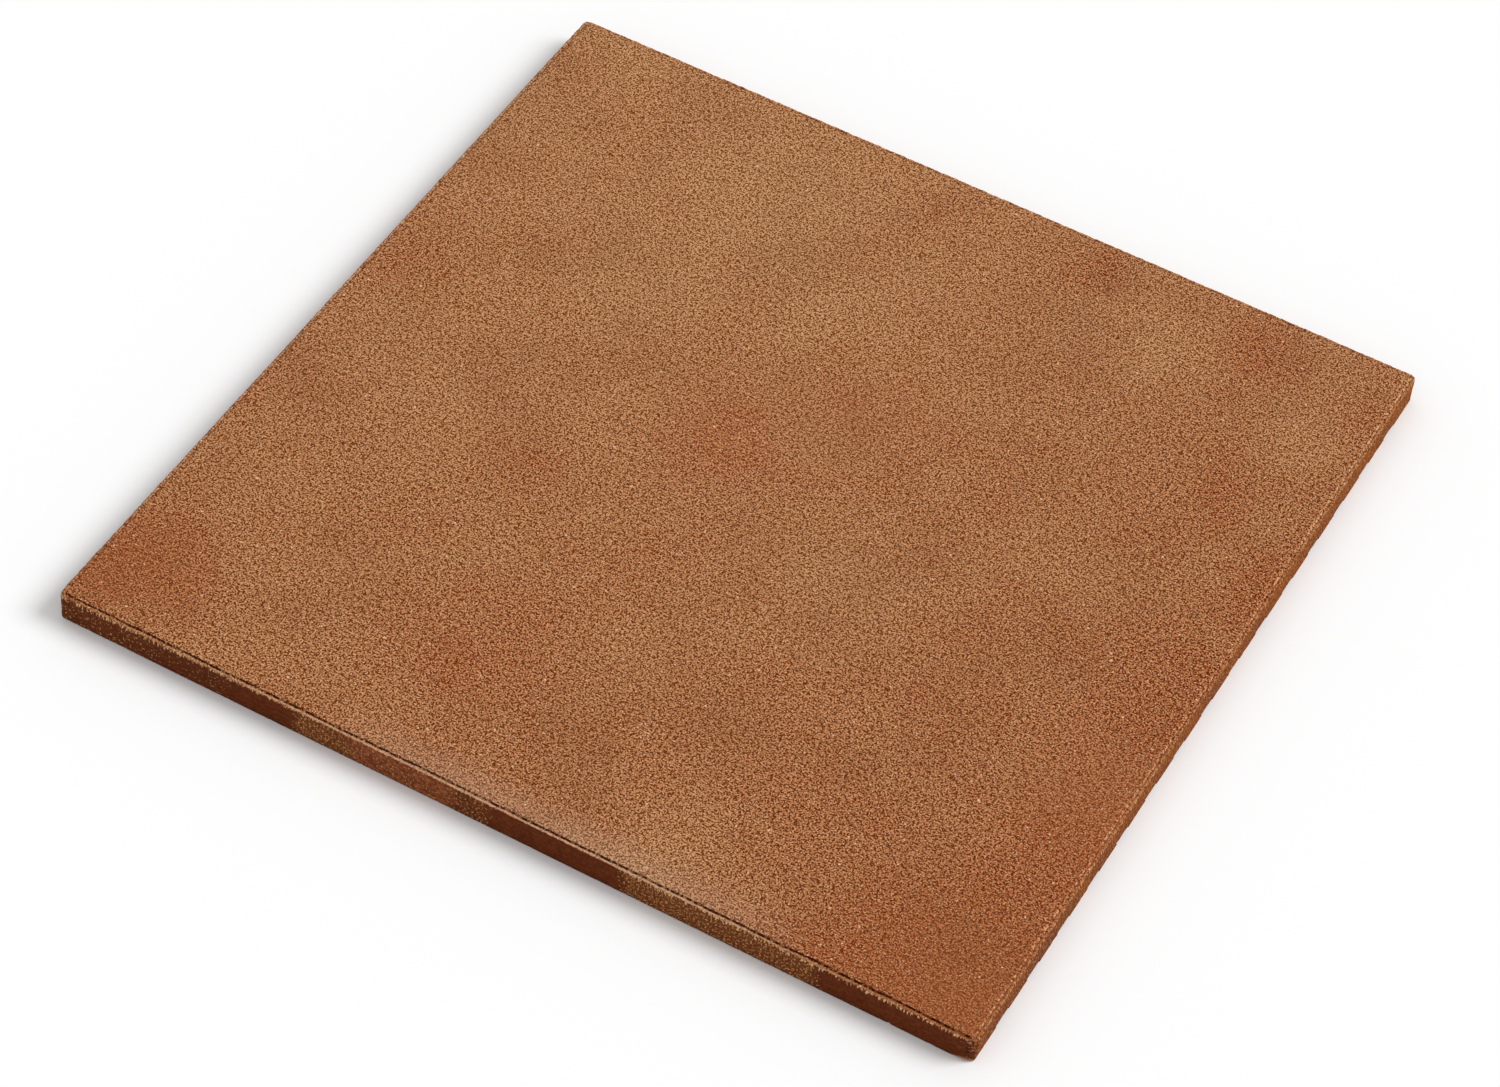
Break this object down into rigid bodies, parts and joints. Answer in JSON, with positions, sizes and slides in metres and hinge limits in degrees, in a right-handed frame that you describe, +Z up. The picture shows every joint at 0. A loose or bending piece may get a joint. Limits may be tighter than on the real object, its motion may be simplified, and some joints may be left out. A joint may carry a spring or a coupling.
{
  "type": "clinker tile",
  "caption": "Square fired clay floor tile with a pressed edge round its wear face and dovetailed keying grooves across its bed face.",
  "frame": {"origin": "centre of the bed face, on the plane that the ribs lie on", "axes": "+Z up through the slab to the wear face, +X along the keying grooves, +Y across them"},
  "size_m": [0.3, 0.3, 0.01],
  "materials": {
    "fired_clay": "unglazed, matte, fine sandy grain in mottled tan and red-brown"
  },
  "bodies": {
    "root": {"clinker_tile": "fired_clay"}
  },
  "joints": []
}
